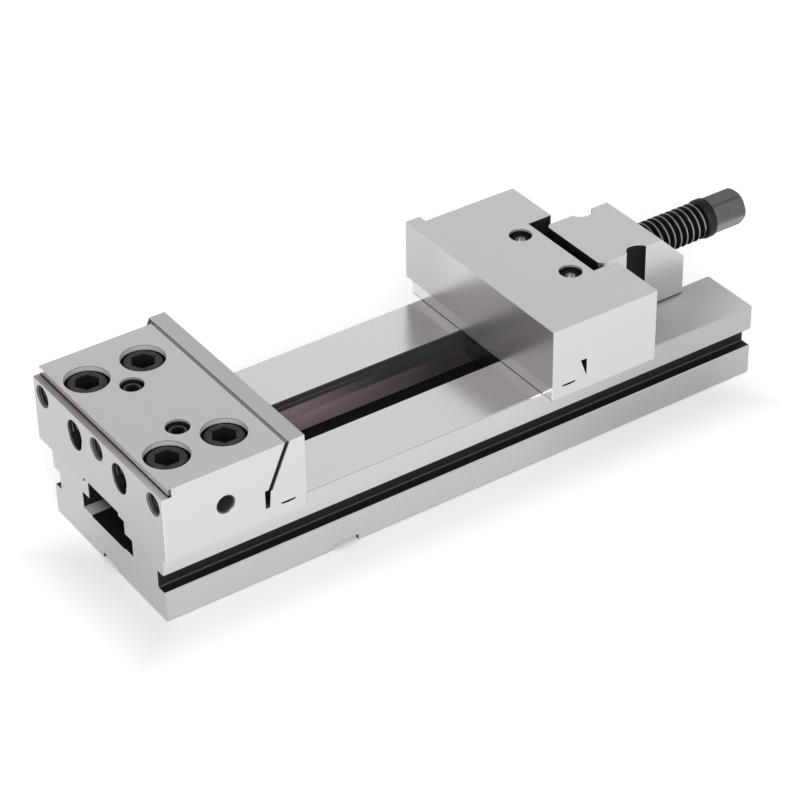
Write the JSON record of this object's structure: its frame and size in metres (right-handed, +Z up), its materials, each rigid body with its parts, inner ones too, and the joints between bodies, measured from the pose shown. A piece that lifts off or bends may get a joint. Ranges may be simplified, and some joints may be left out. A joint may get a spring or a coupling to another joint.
{
  "type": "modular machine vise",
  "caption": "Modular machine vise with a bolted fixed jaw, and a moving jaw driven by a screw spindle from a nut block that is set along the slotted bed.",
  "frame": {"origin": "where the two keyways cross, on the plane of the bed's underside", "axes": "+X along the bed from the fixed jaw to the spindle, +Z up, +Y to the side where the jaw plates stand out"},
  "size_m": [0.478, 0.1565, 0.101],
  "materials": {
    "ground_steel": "ground",
    "hardened_steel": "hardened and ground",
    "black_screw_steel": "black oxide",
    "dark_steel": "dark, machined",
    "bronze": "turned"
  },
  "bodies": {
    "bed": {"bed": "ground_steel", "fixed_jaw_body": "ground_steel", "fixed_jaw_plate": "ground_steel", "fixed_jaw_bolts": "black_screw_steel", "fixed_jaw_keys": "hardened_steel", "fixed_jaw_draw_rods": "dark_steel", "fixed_jaw_lock_screws": "black_screw_steel", "fixed_jaw_seat_strip": "hardened_steel"},
    "nut_carriage": {"nut_block": "ground_steel", "lead_nut": "bronze", "lead_nut_screw": "black_screw_steel", "carriage_foot": "hardened_steel", "carriage_foot_plate": "hardened_steel", "carriage_foot_screws": "black_screw_steel", "index_plunger": "black_screw_steel"},
    "index_pin": {"index_pin": "hardened_steel", "index_grip_pin": "dark_steel"},
    "moving_jaw": {"moving_jaw_body": "ground_steel", "moving_jaw_plate": "ground_steel", "moving_jaw_draw_rods": "dark_steel", "moving_jaw_lock_screws": "black_screw_steel", "jaw_guide": "hardened_steel", "jaw_guide_screws": "black_screw_steel", "thrust_pad": "hardened_steel", "nose_retainer_lower": "dark_steel", "nose_retainer_upper": "dark_steel", "nose_retainer_screws": "black_screw_steel"},
    "spindle": {"spindle": "dark_steel", "thrust_ball": "hardened_steel"}
  },
  "joints": [
    {"name": "carriage_slide", "type": "slide", "parent": "bed", "child": "nut_carriage", "axis": [1, 0, 0], "range_m": [-0.15, 0.025]},
    {"name": "jaw_slide", "type": "slide", "parent": "nut_carriage", "child": "moving_jaw", "axis": [1, 0, 0], "range_m": [-0.0275, 0.009]},
    {"name": "spindle_turn", "type": "hinge", "parent": "moving_jaw", "child": "spindle", "pos_m": [0.25, 0, 0.0805], "axis": [1, 0, 0], "range_deg": [-1980.5, 648.5]},
    {"name": "index_pin_lift", "type": "slide", "parent": "nut_carriage", "child": "index_pin", "axis": [0, 0, 1], "range_m": [-0.0053, 0]}
  ],
  "couplings": [
    {"joint": "spindle_turn", "follows": "jaw_slide", "rad_per_m": 1256.6}
  ]
}
